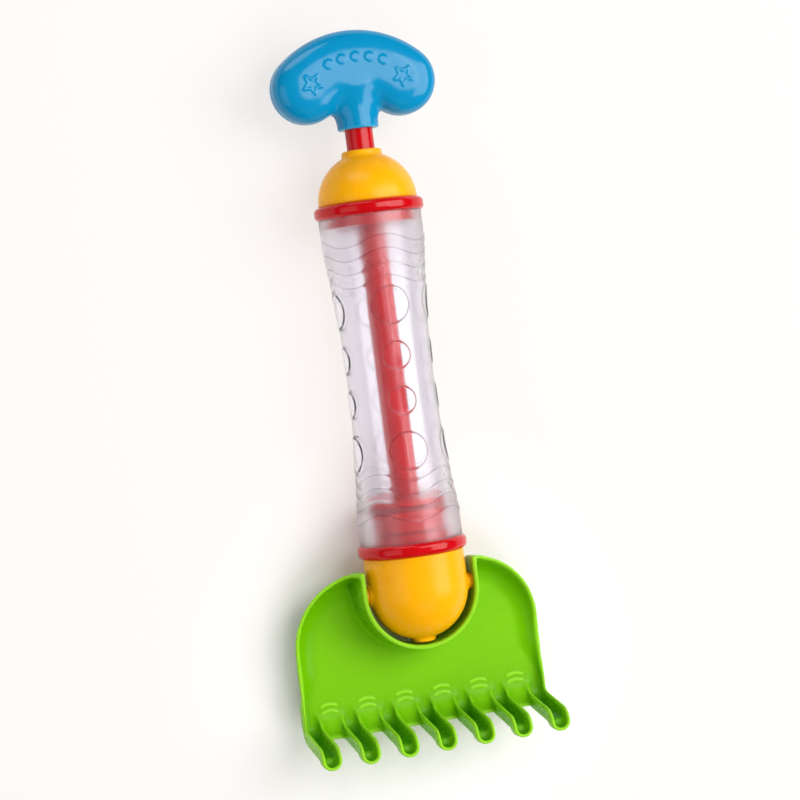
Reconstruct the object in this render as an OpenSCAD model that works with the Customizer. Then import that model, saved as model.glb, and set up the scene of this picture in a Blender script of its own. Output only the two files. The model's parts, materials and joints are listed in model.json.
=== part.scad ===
// Pump-action water squirter with a pivoting sand rake, lying on its back.
// The barrel axis runs along Y with the handle at +Y, and the tines of the rake rise toward +Z.
// The two flange rings touch the ground plane Z = 0.

/* [Barrel] */
// Length of the clear barrel between the two flange rings
barrel_len = 163.5; // [120:0.5:220]
// Diameter of the straight bore that the piston runs in
bore_d = 40; // [36:0.1:46]
// Wall of the barrel at its waist
waist_wall = 1.7; // [1.2:0.1:3]
// Wall of the barrel at its thick ends
end_wall = 5.8; // [5:0.1:8]
// Length of the waisted stretch
waist_len = 136; // [90:1:140]
// Width of the step in the upper mouth that takes the upper ring's spigot
mouth_step = 2.9; // [2:0.1:3.5]

/* [Bubbles on the barrel] */
// Height of the round bubbles over the barrel wall
bubble_rise = 0.5; // [0.3:0.1:1]
// Diameter of the bubbles nearest the ends
big_bubble_d = 18.6; // [12:0.1:22]
// Diameter of the bubbles nearest the waist
small_bubble_d = 13.8; // [8:0.1:18]
// Distance of the big bubbles from the middle of the barrel
big_bubble_at = 36.2; // [30:0.1:50]
// Distance of the small bubbles from the middle of the barrel
small_bubble_at = 11.2; // [9:0.1:14]
// Number of bubble columns round the barrel
bubble_columns = 4; // [3:1:5]
// Turn of the barrel about its axis, against the face of the rake
barrel_turn = -3; // [-45:1:45]

/* [Flange rings] */
// Overhang of a flange ring past the end of the barrel
ring_lip = 1.7; // [1:0.05:4]
// Height of a flange ring along the axis
ring_h = 6.5; // [5.5:0.1:9]
// Rounding of the outer edge of a flange ring
ring_round = 2.4; // [1:0.1:2.7]
// Length of the upper ring's spigot inside the barrel
upper_spigot_len = 5; // [3:0.1:8]
// Length of the lower ring's spigot inside the barrel
lower_spigot_len = 4.5; // [3:0.1:8]
// Length of the spigots that hold the two caps
cap_spigot_len = 4; // [3:0.1:6]
// Inner lip of the upper ring that stops the piston
stop_lip = 1.5; // [1:0.1:3]
// Wall of the lower ring's spigot, round its water port
port_wall = 4.9; // [2:0.1:6]
// Gap between a spigot and the wall that it is glued to
glue_gap = 0.1; // [0.05:0.01:0.2]

/* [Upper cap] */
// How far the dome stands inside the edge of the barrel
dome_step = 1; // [0:0.1:1.5]
// Wall of the dome
dome_wall = 2; // [1.5:0.1:3]
// Height of the dome's centre over the upper ring
dome_lift = 0.5; // [0:0.1:3]
// Wall of the collar at its mouth
collar_mouth_wall = 2.6; // [1:0.1:3.5]
// Flare of the collar down to its foot
collar_flare = 0.7; // [0.3:0.1:3]
// Height of the collar's taper
collar_h = 3.6; // [3:0.1:6]
// Height of the collar's mouth over the top of the dome
collar_rise = 0.95; // [0:0.05:2]
// Length of the rod guide inside the dome
guide_len = 14; // [8:0.5:18]
// Wall of the rod guide inside the dome
guide_wall = 2; // [1.5:0.1:3]

/* [Lower cap] */
// How far the lower cap stands inside the edge of the barrel
cap_step = 1; // [0:0.1:1.5]
// Wall of the lower cap
cap_wall = 2.2; // [1.6:0.1:3]
// Distance of the rake's pivot below the lower ring
pivot_drop = 17.9; // [16:0.1:24]
// Diameter of the nozzle nub
nub_d = 12; // [8:0.1:14]
// Gap between the nozzle nub and the rake's collar
nub_gap = 0.3; // [0.2:0.05:0.8]
// Diameter of the nozzle hole
nozzle_d = 3; // [2:0.1:5]
// Diameter of the foot of the cone round each trunnion
pad_d = 19; // [14:0.1:22]
// Diameter of the end of that cone
pad_tip_d = 10; // [9.2:0.1:13]
// Diameter of each trunnion pin
pin_d = 8; // [5:0.1:9]
// Depth of each trunnion pin in the wall of the rake's collar
pin_depth = 1.3; // [1:0.1:1.6]
// Inner ledge that the gasket lies on
ledge_h = 1.6; // [1:0.1:3]
// Thickness of the gasket
gasket_h = 1.2; // [0.8:0.1:2]
// Width of the gasket
gasket_w = 2.4; // [1.5:0.1:3]

/* [Plunger] */
// Diameter of the plunger rod
rod_d = 14; // [11:0.1:15]
// Wall of the hollow rod
rod_wall = 2; // [1.5:0.1:4]
// Length of rod that shows between the collar and the handle
rod_shown = 10.5; // [4:0.1:20]
// Gap between the rod and its guide
rod_gap = 0.1; // [0.05:0.01:0.1]
// Gap between the piston's flanges and the bore
piston_gap = 0.3; // [0.2:0.05:0.5]
// Thickness of each piston flange
piston_flange_t = 2.4; // [1.5:0.1:4]
// Thickness of the seal ring
seal_d = 2.4; // [1.5:0.1:3.5]
// Room round the seal in its groove
seal_room = 0.15; // [0.1:0.05:0.3]
// Gap between the seal and the bore
seal_gap = 0.15; // [0.1:0.01:0.3]
// Length of the piston's skirt
skirt_len = 8; // [4:0.1:14]
// How far the skirt stands inside the flanges
skirt_step = 1.7; // [1:0.1:2.5]
// Wall of the skirt and of the rod socket
skirt_wall = 2; // [1.5:0.1:3]
// Depth of the rod's socket in the piston
socket_depth = 12; // [8:0.1:13]
// Gap under the piston at the bottom of its stroke
rest_gap = 0.5; // [0.3:0.1:2]

/* [Handle] */
// Overall width of the handle
handle_w = 84; // [75:0.5:95]
// Diameter of the handle's round lobes
lobe_d = 35.2; // [30:0.1:38]
// Radius of the handle's curved middle line
handle_bend_r = 36.2; // [30:0.05:60]
// Thickness of the handle
handle_t = 24; // [22:0.1:28]
// Rounding of the handle's edges
handle_round = 10; // [6:0.1:10.5]
// Wall of the handle's two shells
handle_wall = 2.2; // [1.6:0.1:3]
// Wall of the neck round the rod's flange
neck_wall = 1.8; // [1:0.1:2.5]
// Length of neck that shows below the lobes
neck_len = 4.75; // [2:0.05:10]
// Depth of the rod inside the handle
grip_depth = 18.5; // [14:0.1:22]
// Width of the rod's flange inside the neck
rod_flange_w = 1.5; // [1:0.1:2]
// Thickness of the rod's flange
rod_flange_t = 2.5; // [1.5:0.1:4]
// Thickness of the seat above the rod's flange
seat_t = 3.5; // [2:0.1:6]
// Gap round the rod in the neck and round the pegs
handle_gap = 0.05; // [0.03:0.01:0.15]
// Diameter of the posts that carry the pegs
post_d = 6.4; // [5:0.1:8]
// Diameter of the pegs
peg_d = 3.6; // [2.5:0.1:4]
// Length of the pegs
peg_len = 3; // [2:0.1:5]

/* [Rake plate] */
// Thickness of the plate
plate_t = 2; // [1.5:0.1:3]
// Depth of the plate's floor behind the pivot
floor_depth = 15.5; // [13:0.1:18]
// Height of the collar wall in front of the pivot
collar_front = 8; // [6:0.1:10]
// Gap between the lower cap and the collar wall
collar_gap = 2.9; // [2:0.1:4]
// Thickness of the collar wall
collar_wall = 2.4; // [2:0.1:4]
// Height of the shoulders above the pivot
horn_h = 12.4; // [9:0.1:14]
// Radius of the shoulders
shoulder_r = 36.5; // [20:0.5:44]
// Thickness of the rim
rim_wall = 2; // [1.5:0.1:3]
// Height of the rim over the floor along the sides
rim_h = 4.6; // [3:0.1:8]
// Distance below the pivot at which the rim stops sloping
rim_slope_len = 31; // [20:0.1:48]
// Height of the rim over the floor at the top of the shoulders
shoulder_rise = 12; // [9:0.1:16]
// Width of the gusset from the top of the collar wall down to the rim
gusset_w = 9; // [5:0.1:14]

/* [Tines] */
// Number of tines
tine_count = 7; // [5:2:9]
// Spacing of the tines
tine_pitch = 19.75; // [17:0.05:23]
// Width of a tine
tine_w = 10.2; // [8:0.1:12]
// Wall of a tine's channel
tine_wall = 1.75; // [1.3:0.05:2.5]
// Depth of a tine's channel
channel_depth = 5.5; // [4:0.1:7]
// Distance of the tines' front edges below the pivot
tine_reach = 65.2; // [58:0.1:80]
// Steepness of the tines
tine_angle = 80; // [65:1:85]
// Height of the tine tips in front of the pivot
tip_front = 21.9; // [16:0.1:30]
// Length of the lip from the front edges to the end of a tip
lip_len = 14.6; // [12:0.1:18]
// Bend of the tines' front edges out of the floor
rib_bend_r = 9; // [7:0.1:12]
// Bend of the channel's floor
channel_bend_r = 8; // [6:0.1:10]
// Bend of the tines' front edges into the lip
lip_bend_r = 8; // [7.5:0.1:9]
// Length of the sloping web between two tines
web_len = 14.3; // [10:0.1:16]
// Rise of the web over the floor
web_rise = 8.4; // [5:0.1:10]
// Height of each of the two small steps at the top of a web
step_h = 0.7; // [0.4:0.1:1]
// Distance between the two steps
step_pitch = 3; // [2:0.1:4]
// Radius of the steps' round fronts
step_r = 9; // [6:0.1:12]

/* [Trunnion fit] */
// Gap between a trunnion pin and its socket
pin_gap = 0.08; // [0.05:0.01:0.1]
// Gap between the end of a trunnion's cone and the collar wall
pad_gap = 0.3; // [0.2:0.05:0.5]
// Gap past the end of a trunnion pin
pin_end_gap = 0.2; // [0.1:0.05:0.4]
// Gap at the lower ring's edge, which the swinging collar passes
swing_gap = 0.3; // [0.2:0.05:1]

/* [Hidden] */
$fn = 96;
eps = 0.01;
over = 1;
arc_steps = 10;
// Small step where the handle's round ends meet its bent middle
lobe_seam = 0.05;

// Barrel and rings, as radii and as stations along the axis from the middle of the barrel
bore_r = bore_d/2;
waist_r = bore_r + waist_wall;
end_r = bore_r + end_wall;
waist_sag = end_r - waist_r;
waist_bend_r = (waist_len*waist_len/4 + waist_sag*waist_sag)/(2*waist_sag);
mouth_r = bore_r + mouth_step;
port_r = bore_r - glue_gap - port_wall;
ring_r = end_r + ring_lip;
barrel_y = barrel_len/2;
ring_top = barrel_y + ring_h;
upper_stop = barrel_y - upper_spigot_len;
lower_stop = lower_spigot_len - barrel_y;

// Caps
dome_r = end_r - dome_step;
dome_y = ring_top + dome_lift;
collar_top = dome_y + dome_r + collar_rise;
guide_r = rod_d/2 + rod_gap;
collar_mouth_r = guide_r + collar_mouth_wall;
cap_r = end_r - cap_step;
cap_bore_r = cap_r - cap_wall;
pivot_y = -ring_top - pivot_drop;
gasket_r = cap_bore_r - glue_gap;
gasket_top = -ring_top - cap_spigot_len;

// Plunger
rod_r = rod_d/2;
piston_r = bore_r - piston_gap;
groove_w = seal_d + 2*seal_room;
groove_r = bore_r - seal_gap - seal_d - seal_room;
skirt_r = piston_r - skirt_step;
skirt_end = lower_stop + rest_gap;
groove_y = skirt_end + skirt_len + piston_flange_t;
piston_top = groove_y + groove_w + piston_flange_t;
rod_end = piston_top - socket_depth;

// Handle
neck_end = collar_top + rod_shown;
rod_flange_r = rod_r + rod_flange_w;
neck_r = rod_flange_r + handle_gap + neck_wall;
rod_top = neck_end + grip_depth;
lobe_r = lobe_d/2;
lobe_x = handle_w/2 - lobe_r;
handle_sweep = asin(lobe_x/handle_bend_r);
lobe_y = neck_end + neck_len + lobe_r;
bend_y = lobe_y - handle_bend_r*cos(handle_sweep);
handle_top = bend_y + handle_bend_r + lobe_r;
half_t = handle_t/2;
peg_places = [[-lobe_x, lobe_y], [lobe_x, lobe_y], [0, bend_y + handle_bend_r]];

// Rake, as distances below the pivot and heights in front of it
collar_in = max(cap_r + collar_gap, ring_r + swing_gap);
collar_out = collar_in + collar_wall;
floor_z = -floor_depth;
back_z = floor_z - plate_t;
rake_half = (tine_count - 1)/2*tine_pitch + tine_w/2;
rim_z = floor_z + rim_h;
shoulder_z = floor_z + shoulder_rise;
tip_end = tine_reach + lip_len;
gap_w = tine_pitch - tine_w;
edge_corner = tine_reach - floor_depth/tan(tine_angle);
rib_start = edge_corner - rib_bend_r*tan(tine_angle/2);
rib_angle = acos(1 - rim_h/rib_bend_r);
rim_end = rib_start + rib_bend_r*sin(rib_angle);
channel_reach = tine_reach + channel_depth/sin(tine_angle);
back_reach = channel_reach + plate_t/sin(tine_angle);
channel_lip_r = lip_bend_r - channel_depth;
back_lip_r = max(channel_lip_r - plate_t, eps);
web_bend_r = (web_len*web_len + web_rise*web_rise)/(2*web_rise);
web_angle = asin(web_len/web_bend_r);
web_start = rib_start - over;
pad_foot = sqrt(cap_r*cap_r - pad_d*pad_d/4) - cap_wall/2;
pad_end = sqrt(collar_in*collar_in - pad_tip_d*pad_tip_d/4) - pad_gap;
pin_end = collar_in + pin_depth;
nub_end = pivot_y - sqrt(collar_in*collar_in - nub_d*nub_d/4) + nub_gap;

// The whole part is shifted so that it stands on Z = 0 and its box is centred on the origin
middle_y = (handle_top + pivot_y - tip_end)/2;

module placed() {
    translate([0, -middle_y, ring_r]) children();
}

// Turn a profile of radius and height into a round solid on the axis
module lathe() {
    rotate([-90, 0, 0]) rotate_extrude() children();
}

// Profile rectangle from radius a to b and from station y0 to y1
module band(a, b, y0, y1) {
    translate([a, y0]) square([b - a, y1 - y0]);
}

// Round rod on the axis from station y0 to y1
module axis_rod(r, y0, y1) {
    translate([0, y0, 0]) rotate([-90, 0, 0]) cylinder(r = r, h = y1 - y0);
}

// Sideways rod at the pivot from x0 to x1
module pivot_rod(r, x0, x1) {
    translate([x0, pivot_y, 0]) rotate([0, 90, 0]) cylinder(r = r, h = x1 - x0);
}

// Outer profile of the barrel, grown outward by an amount
module barrel_profile(grow) {
    difference() {
        band(0, end_r + grow, -barrel_y, barrel_y);
        translate([waist_r + waist_bend_r, 0]) circle(r = waist_bend_r - grow, $fn = 1440);
    }
}

// Radial plugs of the bubbles in one column
module bubble_column() {
    for (row = [[big_bubble_at, big_bubble_d], [small_bubble_at, small_bubble_d]])
        for (side = [-1, 1])
            translate([0, side*row[0], 0]) cylinder(d = row[1], h = ring_r);
}

module barrel() {
    color([0.92, 0.93, 0.96, 0.5]) placed() difference() {
        union() {
            lathe() barrel_profile(0);
            intersection() {
                lathe() barrel_profile(bubble_rise);
                for (i = [0:bubble_columns - 1])
                    rotate([0, i*360/bubble_columns + barrel_turn, 0]) bubble_column();
            }
        }
        axis_rod(bore_r, -barrel_y - over, barrel_y + over);
        axis_rod(mouth_r, upper_stop - glue_gap, barrel_y + over);
    }
}

// Profile of a flange with a rounded outer edge, from radius a and from station y0 upward
module flange_profile(a, y0) {
    band(a, ring_r - ring_round, y0, y0 + ring_h);
    band(a, ring_r, y0 + ring_round, y0 + ring_h - ring_round);
    for (y = [y0 + ring_round, y0 + ring_h - ring_round])
        translate([ring_r - ring_round, y]) circle(r = ring_round);
}

module upper_ring() {
    color([0.84, 0.02, 0.05]) placed() lathe() {
        flange_profile(bore_r - stop_lip, barrel_y);
        band(bore_r - stop_lip, mouth_r - glue_gap, upper_stop, barrel_y + over);
        band(bore_r - stop_lip, dome_r - dome_wall - glue_gap, ring_top - over, ring_top + cap_spigot_len);
    }
}

module lower_ring() {
    color([0.84, 0.02, 0.05]) placed() lathe() {
        flange_profile(port_r, -ring_top);
        band(port_r, bore_r - glue_gap, -barrel_y - over, lower_stop);
        band(port_r, cap_bore_r - glue_gap, gasket_top, over - ring_top);
    }
}

module upper_cap() {
    color([1, 0.72, 0]) placed() difference() {
        union() {
            difference() {
                union() {
                    translate([0, dome_y, 0]) rotate([-90, 0, 0]) sphere(r = dome_r);
                    axis_rod(dome_r, ring_top, dome_y);
                }
                translate([0, dome_y, 0]) rotate([-90, 0, 0]) sphere(r = dome_r - dome_wall);
                axis_rod(dome_r - dome_wall, ring_top - over, ring_top + cap_spigot_len);
                axis_rod(ring_r, dome_y - dome_r - over, ring_top);
            }
            translate([0, collar_top - collar_h, 0]) rotate([-90, 0, 0])
                cylinder(r1 = collar_mouth_r + collar_flare, r2 = collar_mouth_r, h = collar_h);
            axis_rod(guide_r + guide_wall, collar_top - guide_len, collar_top - collar_h);
        }
        axis_rod(guide_r, dome_y - dome_r, collar_top + over);
    }
}

// Profile of a round-ended cup of radius r that opens at the lower ring
module cup_profile(r, mouth) {
    band(0, r, pivot_y, mouth);
    intersection() {
        translate([0, pivot_y]) circle(r = r);
        band(0, r, pivot_y - r, pivot_y);
    }
}

module lower_cap() {
    color([1, 0.72, 0]) placed() difference() {
        union() {
            lathe() {
                cup_profile(cap_r, -ring_top);
                band(0, nub_d/2, nub_end, pivot_y);
            }
            for (side = [0, 1]) mirror([side, 0, 0]) {
                translate([pad_foot, pivot_y, 0]) rotate([0, 90, 0])
                    cylinder(d1 = pad_d, d2 = pad_tip_d, h = pad_end - pad_foot);
                pivot_rod(pin_d/2, cap_bore_r/2, pin_end);
            }
        }
        lathe() difference() {
            cup_profile(cap_bore_r, over - ring_top);
            band(gasket_r - gasket_w, cap_r, gasket_top - gasket_h - ledge_h, gasket_top - gasket_h);
        }
        axis_rod(nozzle_d/2, pivot_y - 2*cap_r, pivot_y);
    }
}

module lower_gasket() {
    color([0.12, 0.12, 0.13]) placed() lathe()
        band(gasket_r - gasket_w, gasket_r, gasket_top - gasket_h, gasket_top);
}

module piston_seal() {
    color([0.7, 0.05, 0.08]) placed() lathe()
        translate([bore_r - seal_gap - seal_d/2, groove_y + groove_w/2]) circle(d = seal_d);
}

module piston() {
    color([0.84, 0.02, 0.05]) placed() difference() {
        lathe() {
            band(0, groove_r, groove_y - piston_flange_t, piston_top);
            band(0, piston_r, groove_y - piston_flange_t, groove_y);
            band(0, piston_r, groove_y + groove_w, piston_top);
            band(skirt_r - skirt_wall, skirt_r, skirt_end, groove_y);
            band(0, rod_r + skirt_wall, rod_end - skirt_wall, groove_y);
        }
        axis_rod(rod_r + handle_gap, rod_end, piston_top + over);
    }
}

module plunger_rod() {
    color([0.84, 0.02, 0.05]) placed() lathe() {
        band(rod_r - rod_wall, rod_r, rod_end, rod_top);
        band(rod_r - rod_wall, rod_flange_r, rod_top - rod_flange_t, rod_top);
    }
}

// Half of the handle's rounded cross-section, drawn inward by an inset, with its foot near the parting plane
module lens_half(inset, foot) {
    reach = lobe_r - inset;
    height = half_t - inset;
    round_r = handle_round - inset;
    translate([0, foot]) square([reach - round_r, height - foot]);
    translate([0, foot]) square([reach, height - round_r - foot]);
    intersection() {
        translate([reach - round_r, height - round_r]) circle(r = round_r);
        square([reach, height]);
    }
}

// Front half of the kidney-shaped grip: a bent bar with two round ends
module grip_half(inset, foot) {
    translate([0, bend_y, 0]) rotate([0, 0, 90 - handle_sweep]) rotate_extrude(angle = 2*handle_sweep)
        translate([handle_bend_r, 0]) {
            lens_half(inset, foot);
            mirror([1, 0]) lens_half(inset, foot);
        }
    for (side = [-1, 1])
        translate([side*lobe_x, lobe_y, 0]) rotate_extrude() lens_half(inset + lobe_seam, foot);
}

// Front half of the neck, with its core that holds the rod's flange
module neck_half() {
    intersection() {
        axis_rod(neck_r, neck_end, rod_top + seat_t);
        translate([-neck_r, neck_end, 0]) cube([2*neck_r, grip_depth + seat_t, neck_r]);
    }
}

// Front shell of the handle, open at the parting plane
module handle_shell() {
    difference() {
        union() {
            difference() {
                grip_half(0, 0);
                grip_half(handle_wall, -over);
            }
            neck_half();
            for (p = peg_places)
                translate([p[0], p[1], 0]) cylinder(d = post_d, h = half_t - handle_wall/2);
        }
        axis_rod(rod_r + handle_gap, neck_end - over, rod_top);
        axis_rod(rod_flange_r + handle_gap, rod_top - rod_flange_t, rod_top);
    }
}

module handle_front() {
    color([0, 0.55, 0.8]) placed() difference() {
        handle_shell();
        for (p = peg_places)
            translate([p[0], p[1], -over]) cylinder(d = peg_d + 2*handle_gap, h = peg_len + over + handle_gap);
    }
}

module handle_back() {
    color([0, 0.55, 0.8]) placed() {
        mirror([0, 0, 1]) handle_shell();
        for (p = peg_places)
            translate([p[0], p[1], -half_t/2]) cylinder(d = peg_d, h = half_t/2 + peg_len);
    }
}

// Plan of the plate down to a given distance below the pivot, with its other edges drawn in by an inset
module plate_plan(inset, below) {
    shoulder_x = rake_half - shoulder_r;
    shoulder_y = pivot_y + horn_h - shoulder_r;
    for (side = [-1, 1]) translate([side*shoulder_x, shoulder_y]) circle(r = shoulder_r - inset);
    translate([-shoulder_x, pivot_y - below]) square([2*shoulder_x, below + horn_h - inset]);
    translate([inset - rake_half, pivot_y - below])
        square([2*(rake_half - inset), max(below + horn_h - shoulder_r, eps)]);
}

// Plan of the U-shaped collar, filled, out to radius r and up to a given height above the pivot
module collar_plan(r, top) {
    intersection() {
        translate([0, pivot_y]) circle(r = r);
        translate([-r, pivot_y - r]) square([2*r, r]);
    }
    translate([-r, pivot_y]) square([2*r, top]);
}

// Slab of a plan between two heights
module plan_slab(z0, z1) {
    translate([0, 0, z0]) linear_extrude(z1 - z0) children();
}

// Slab of a side view, drawn as distance below the pivot and height in front of it, across a width
module side_slab(width) {
    translate([0, pivot_y, 0]) rotate([90, 0, -90]) linear_extrude(width, center = true) children();
}

// Points along a round bend about centre c, from angle a0 to a1
function bend(c, r, a0, a1) =
    [for (i = [0:arc_steps]) c + r*[cos(a0 + (a1 - a0)*i/arc_steps), sin(a0 + (a1 - a0)*i/arc_steps)]];

// Side line of a tine: along a floor, up a slope that passes the pivot's height at reach, and out along a lip
function tine_line(floor_level, lip_level, reach, floor_bend, lip_bend) =
    let (slope = tan(tine_angle), half_turn = tan(tine_angle/2))
    let (foot = reach + floor_level/slope - floor_bend*half_turn)
    let (head = reach + lip_level/slope + lip_bend*half_turn)
    concat(
        bend([foot, floor_level + floor_bend], floor_bend, -90, tine_angle - 90),
        bend([head, lip_level - lip_bend], lip_bend, 90 + tine_angle, 90),
        [[tip_end + over, lip_level]]);

function reversed(points) = [for (i = [len(points) - 1:-1:0]) points[i]];

edge_line = tine_line(floor_z, tip_front, tine_reach, rib_bend_r, lip_bend_r);
channel_line = tine_line(floor_z, tip_front - channel_depth, channel_reach, channel_bend_r, channel_lip_r);
back_line = tine_line(back_z, tip_front - channel_depth - plate_t, back_reach,
                      channel_bend_r + plate_t, back_lip_r);

// Round-ended plan of one tine, drawn inward by an inset
module tine_plan(inset) {
    r = tine_w/2 - inset;
    centre = pivot_y - tip_end + tine_w/2;
    translate([0, centre]) circle(r = r);
    translate([-r, centre]) square([2*r, pivot_y - web_start - centre]);
}

module at_tines() {
    for (i = [0:tine_count - 1]) translate([(i - (tine_count - 1)/2)*tine_pitch, 0, 0]) children();
}

module at_gaps() {
    for (i = [0:tine_count - 2]) translate([(i - (tine_count - 2)/2)*tine_pitch, 0, 0]) children();
}

module tine_body() {
    intersection() {
        side_slab(tine_w) polygon(concat([[web_start, floor_z]], edge_line, reversed(back_line),
                                         [[web_start, back_z]]));
        plan_slab(back_z - over, tip_front + over) tine_plan(0);
    }
}

module tine_channel() {
    intersection() {
        side_slab(tine_w) polygon(concat([[web_start, floor_z]], channel_line,
                                         [[tip_end + over, tip_front + over], [web_start, tip_front + over]]));
        plan_slab(floor_z - over, tip_front + over) tine_plan(tine_wall);
    }
}

// Sloping web that joins the feet of the tines
module web() {
    centre = [web_start, floor_z + web_bend_r];
    side_slab(2*rake_half - tine_w) polygon(concat(
        bend(centre, web_bend_r, -90, web_angle - 90),
        reversed(bend(centre, web_bend_r + plate_t, -90, web_angle - 90))));
}

// Two low steps with round fronts at the top of a web
module web_steps() {
    for (k = [0, 1])
        plan_slab(floor_z - plate_t/2, floor_z + (k + 1)*step_h) intersection() {
            translate([0, pivot_y - web_start - k*step_pitch - step_r]) circle(r = step_r);
            translate([-gap_w/2, pivot_y - web_start - web_len/2]) square([gap_w, web_len]);
        }
}

// Front view of the two gussets beside the collar, as one plate along the axis
module gusset_slab() {
    reach = collar_out + gusset_w;
    translate([0, pivot_y + horn_h + over, 0]) rotate([90, 0, 0]) linear_extrude(2*horn_h) polygon([
        [-reach, back_z], [reach, back_z], [reach, shoulder_z], [collar_out, collar_front],
        [-collar_out, collar_front], [-reach, shoulder_z]]);
}

// Low walled tray: floor, collar and a rim that falls from the collar and slopes down along the shoulders
module tray() {
    plan_slab(back_z, floor_z) plate_plan(0, rib_start + over);
    plan_slab(back_z, collar_front) collar_plan(collar_out, horn_h);
    intersection() {
        plan_slab(back_z + plate_t/2, collar_front) difference() {
            plate_plan(0, rim_end);
            plate_plan(rim_wall, rim_end + over);
        }
        union() {
            gusset_slab();
            side_slab(2*rake_half + over) polygon([
                [-horn_h - over, back_z], [-horn_h - over, shoulder_z], [-horn_h, shoulder_z],
                [rim_slope_len, rim_z], [rim_end + over, rim_z], [rim_end + over, back_z]]);
        }
    }
}

module rake_head() {
    color([0.48, 0.8, 0.02]) placed() difference() {
        union() {
            tray();
            web();
            at_gaps() web_steps();
            at_tines() tine_body();
        }
        at_tines() tine_channel();
        plan_slab(back_z - over, collar_front + over) collar_plan(collar_in, horn_h + over);
        for (side = [0, 1]) mirror([side, 0, 0]) pivot_rod(pin_d/2 + pin_gap, 0, pin_end + pin_end_gap);
    }
}

barrel();
upper_ring();
lower_ring();
upper_cap();
lower_cap();
lower_gasket();
piston_seal();
piston();
plunger_rod();
handle_front();
handle_back();
rake_head();
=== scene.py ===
# Pump-action water squirter with a pivoting sand rake, lying on its back on a pale studio floor.
# The barrel's axis runs along Y with the handle at +Y. Sizes are in millimetres until a mesh is made.
import json

import bmesh
import bpy
import numpy as np
from mathutils import Matrix

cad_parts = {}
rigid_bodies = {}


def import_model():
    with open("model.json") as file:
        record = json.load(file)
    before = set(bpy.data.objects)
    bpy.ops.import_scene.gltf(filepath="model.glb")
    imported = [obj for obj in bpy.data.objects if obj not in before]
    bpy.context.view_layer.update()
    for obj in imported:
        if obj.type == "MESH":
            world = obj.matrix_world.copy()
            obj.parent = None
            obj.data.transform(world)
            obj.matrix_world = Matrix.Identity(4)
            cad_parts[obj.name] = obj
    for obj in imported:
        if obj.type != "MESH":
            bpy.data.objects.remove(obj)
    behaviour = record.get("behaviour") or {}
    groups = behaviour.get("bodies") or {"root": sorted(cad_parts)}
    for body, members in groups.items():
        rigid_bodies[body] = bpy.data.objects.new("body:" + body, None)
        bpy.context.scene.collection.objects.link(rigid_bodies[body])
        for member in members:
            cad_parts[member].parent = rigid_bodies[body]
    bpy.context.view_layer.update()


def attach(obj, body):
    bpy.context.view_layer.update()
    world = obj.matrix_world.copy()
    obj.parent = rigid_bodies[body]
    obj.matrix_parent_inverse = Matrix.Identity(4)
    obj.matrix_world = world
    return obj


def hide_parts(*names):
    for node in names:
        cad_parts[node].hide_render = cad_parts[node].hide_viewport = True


for leftover in list(bpy.data.objects):
    bpy.data.objects.remove(leftover)
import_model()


# Barrel: one thick tube of clear plastic, blow moulded with a waist, four columns of flat round bubbles
# and a band of wavy steps near each end. The bubbles are polished and the rest has a faint frost.
# The two red rings are glued into its ends.
mm = 0.001
axis_height = 27.5
middle_shift = 5.77
bore_r, waist_r, end_r = 20.0, 21.7, 25.8
mouth_r, mouth_floor = 22.9, 76.65
barrel_half, waist_half = 81.75, 68.0
barrel_turn = np.radians(-3)
column_angle = np.pi/2
bubbles = ((36.2, 9.3), (11.2, 6.9))
bubble_rise, bubble_edge = 0.5, 0.8
wave_first, wave_pitch, wave_count, wave_swing = 50.8, 6.73, 4, 2.4
wave_rise, wave_drop, half_wave = 0.3, 0.12, 0.5
tick_rise, tick_width, tick_fade, tick_bands = 0.35, 0.5, 4, (1, 3)


def eased(x):
    """Zero below 0, one above 1, and 3x^2 - 2x^3 between."""
    x = np.clip(x, 0, 1)
    return x*x*(3 - 2*x)


def barrel_outside(station, angle):
    """Radius of the outside, how far a place lies inside the nearest bubble, and the count of wave lines up
    to it. The waist is an arc of a circle. A bubble is a plateau inside a circle round its own axis. The
    waves are a saw-tooth in the station, whose lines swing as the cosine of four times the angle, and short
    upright ticks stand between the columns."""
    sag = end_r - waist_r
    bend = (waist_half**2 + sag**2)/(2*sag)
    base = waist_r + bend - np.sqrt(bend**2 - np.minimum(np.abs(station), waist_half)**2)
    turn = (angle - barrel_turn)/column_angle
    across = base*np.sin((turn - np.round(turn))*column_angle)
    depths = [radius - np.hypot(across, np.abs(station) - place) for place, radius in bubbles]
    inside = np.maximum.reduce(depths)
    plateau = eased(inside/bubble_edge + 0.5)
    swing = wave_swing*(1 - np.cos(2*np.pi*turn))
    line = (np.abs(station) + swing - wave_first)/wave_pitch + 1
    band = np.floor(line)
    tooth = line - band
    tooth = np.where(tooth < 1 - wave_drop, tooth/(1 - wave_drop), (1 - tooth)/wave_drop)
    tooth = np.where((line > 0) & (line < wave_count), eased(tooth), 0)
    between = base*np.sin((turn - np.floor(turn) - 0.5)*column_angle)
    tick = np.exp(-(between/tick_width)**2)*eased(line - band)*eased(tick_fade*(band + 1 - line))
    tick = np.where(np.isin(band, tick_bands), tick, 0)
    relief = bubble_rise*plateau + (1 - plateau)*(wave_rise*tooth + tick_rise*tick)
    return base + relief, inside, np.clip(line, half_wave, wave_count + half_wave)


def round_axis(radius, station, angle):
    """Points at a radius round the barrel's axis: x is r sin a and z is r cos a, at a station along it."""
    sideways, up = radius*np.sin(angle), radius*np.cos(angle) + axis_height
    return np.stack(np.broadcast_arrays(sideways, station + middle_shift, up), -1)*mm


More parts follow.
